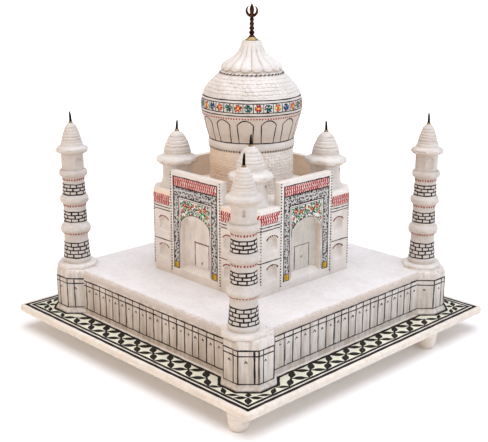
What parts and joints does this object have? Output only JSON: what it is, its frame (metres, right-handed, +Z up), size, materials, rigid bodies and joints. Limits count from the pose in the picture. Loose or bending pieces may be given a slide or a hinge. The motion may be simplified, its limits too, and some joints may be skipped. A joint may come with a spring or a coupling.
{
  "type": "miniature domed mausoleum",
  "caption": "Carved marble souvenir model of a domed mausoleum with roof kiosks and corner minarets on a terrace and an inlaid footed base plate.",
  "frame": {"origin": "centre of the base plate in plan, on the surface that the four feet stand on", "axes": "+Z up; X and Y along the sides of the square base plate, so each portal faces along +X, +Y, -X or -Y"},
  "size_m": [0.254, 0.254, 0.2461],
  "materials": {
    "white_marble": "white marble, hand rubbed, drawn and painted with ink lines and enamel colours",
    "cream_marble": "polished cream marble, inlaid with black and pale stone",
    "black_metal": "black lacquered metal",
    "bronze": "dark bronze, worn on the beads",
    "gilt": "pale gilt"
  },
  "bodies": {
    "root": {"base_plate": "cream_marble", "bastion_north_east": "white_marble", "bastion_north_west": "white_marble", "bastion_south_east": "white_marble", "bastion_south_west": "white_marble", "building_core": "white_marble", "drum": "white_marble", "finial": "bronze", "finial_seat": "gilt", "foot_north_east": "cream_marble", "foot_north_west": "cream_marble", "foot_south_east": "cream_marble", "foot_south_west": "cream_marble", "kiosk_north_east": "white_marble", "kiosk_north_west": "white_marble", "kiosk_south_east": "white_marble", "kiosk_south_west": "white_marble", "kiosk_spike_north_east": "black_metal", "kiosk_spike_north_west": "black_metal", "kiosk_spike_south_east": "black_metal", "kiosk_spike_south_west": "black_metal", "lotus_collar": "white_marble", "main_dome": "white_marble", "minaret_lantern_north_east": "white_marble", "minaret_lantern_north_west": "white_marble", "minaret_lantern_south_east": "white_marble", "minaret_lantern_south_west": "white_marble", "minaret_pad_north_east": "white_marble", "minaret_pad_north_west": "white_marble", "minaret_pad_south_east": "white_marble", "minaret_pad_south_west": "white_marble", "minaret_shaft_north_east": "white_marble", "minaret_shaft_north_west": "white_marble", "minaret_shaft_south_east": "white_marble", "minaret_shaft_south_west": "white_marble", "minaret_spike_north_east": "black_metal", "minaret_spike_north_west": "black_metal", "minaret_spike_south_east": "black_metal", "minaret_spike_south_west": "black_metal", "portal_east": "white_marble", "portal_north": "white_marble", "portal_south": "white_marble", "portal_west": "white_marble", "roof_slab": "white_marble", "terrace_deck": "white_marble", "terrace_wall_east": "white_marble", "terrace_wall_north": "white_marble", "terrace_wall_south": "white_marble", "terrace_wall_west": "white_marble", "wing_block_north_east": "white_marble", "wing_block_north_west": "white_marble", "wing_block_south_east": "white_marble", "wing_block_south_west": "white_marble"}
  },
  "joints": []
}
